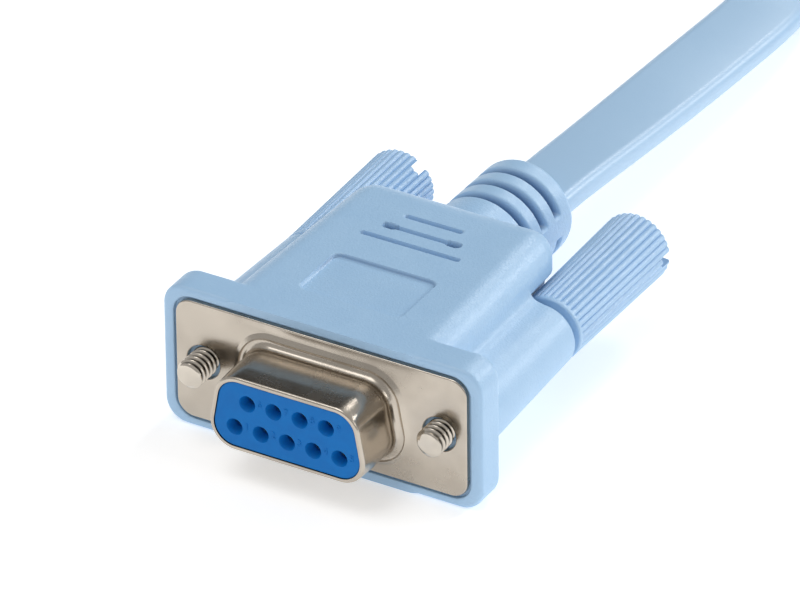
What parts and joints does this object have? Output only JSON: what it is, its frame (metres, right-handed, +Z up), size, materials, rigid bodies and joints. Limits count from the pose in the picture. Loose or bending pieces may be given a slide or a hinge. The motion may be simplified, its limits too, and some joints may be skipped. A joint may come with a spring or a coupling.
{
  "type": "rj45 console cable",
  "caption": "Flat light-blue console cable with a nine-way D socket in a moulded hood with two thumbscrews, and an eight-way modular plug",
  "frame": {"origin": "on the floor under the middle of the D connector and its hood, cable not counted", "axes": "+Y from the mating face to the cable, +Z up from the hood's flat underside, +X to the right seen from the mating face's back"},
  "size_m": [0.0734, 0.2264, 0.0149],
  "materials": {
    "cable_plastic": "fine matte light blue vinyl",
    "insulator_plastic": "satin mid blue",
    "nickel": "bright nickel plate",
    "screw_steel": "nickel plated thread",
    "gold": "gold plate",
    "clear_plastic": "clear moulded plastic",
    "tie_plastic": "white tie"
  },
  "bodies": {
    "connector": {"hood": "cable_plastic", "front_shell": "nickel", "insulator": "insulator_plastic", "socket_contact_1": "gold", "socket_contact_2": "gold", "socket_contact_3": "gold", "socket_contact_4": "gold", "socket_contact_5": "gold", "socket_contact_6": "gold", "socket_contact_7": "gold", "socket_contact_8": "gold", "socket_contact_9": "gold", "flat_cable": "cable_plastic", "cable_hank": "cable_plastic", "cable_tail": "cable_plastic", "cable_tie": "tie_plastic", "plug_body": "clear_plastic", "plug_contact_1": "gold", "plug_contact_2": "gold", "plug_contact_3": "gold", "plug_contact_4": "gold", "plug_contact_5": "gold", "plug_contact_6": "gold", "plug_contact_7": "gold", "plug_contact_8": "gold"},
    "left_thumbscrew": {"left_screw": "screw_steel", "left_knob": "cable_plastic"},
    "right_thumbscrew": {"right_screw": "screw_steel", "right_knob": "cable_plastic"}
  },
  "joints": [
    {"name": "left_thumbscrew_turn", "type": "hinge", "parent": "connector", "child": "left_thumbscrew", "pos_m": [-0.01249, 0.012, 0.00746], "axis": [0, 1, 0], "continuous": true},
    {"name": "right_thumbscrew_turn", "type": "hinge", "parent": "connector", "child": "right_thumbscrew", "pos_m": [0.01249, 0.012, 0.00746], "axis": [0, 1, 0], "continuous": true}
  ]
}
